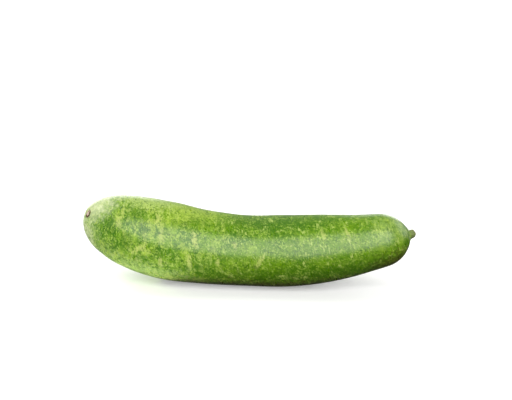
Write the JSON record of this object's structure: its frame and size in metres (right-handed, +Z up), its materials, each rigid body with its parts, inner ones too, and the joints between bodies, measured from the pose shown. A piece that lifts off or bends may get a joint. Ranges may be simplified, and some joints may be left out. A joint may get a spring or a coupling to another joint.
{
  "type": "bottle gourd",
  "caption": "Long green bottle gourd, gently bent, lying on its belly, with a cut stem stub at one end and a corky blossom scar at the other.",
  "frame": {"origin": "a point in the flat spot of the belly that the gourd rests on, right under its centre of mass", "axes": "+X along the fruit from the blossom end to the stem end, +Z up, and -Y towards the side that the picture shows"},
  "size_m": [0.3478, 0.0822, 0.0898],
  "materials": {
    "skin": "satin",
    "cork": "matte",
    "stem": "matte"
  },
  "bodies": {
    "root": {"fruit": "skin", "blossom_scar": "cork", "stem": "stem"}
  },
  "joints": []
}
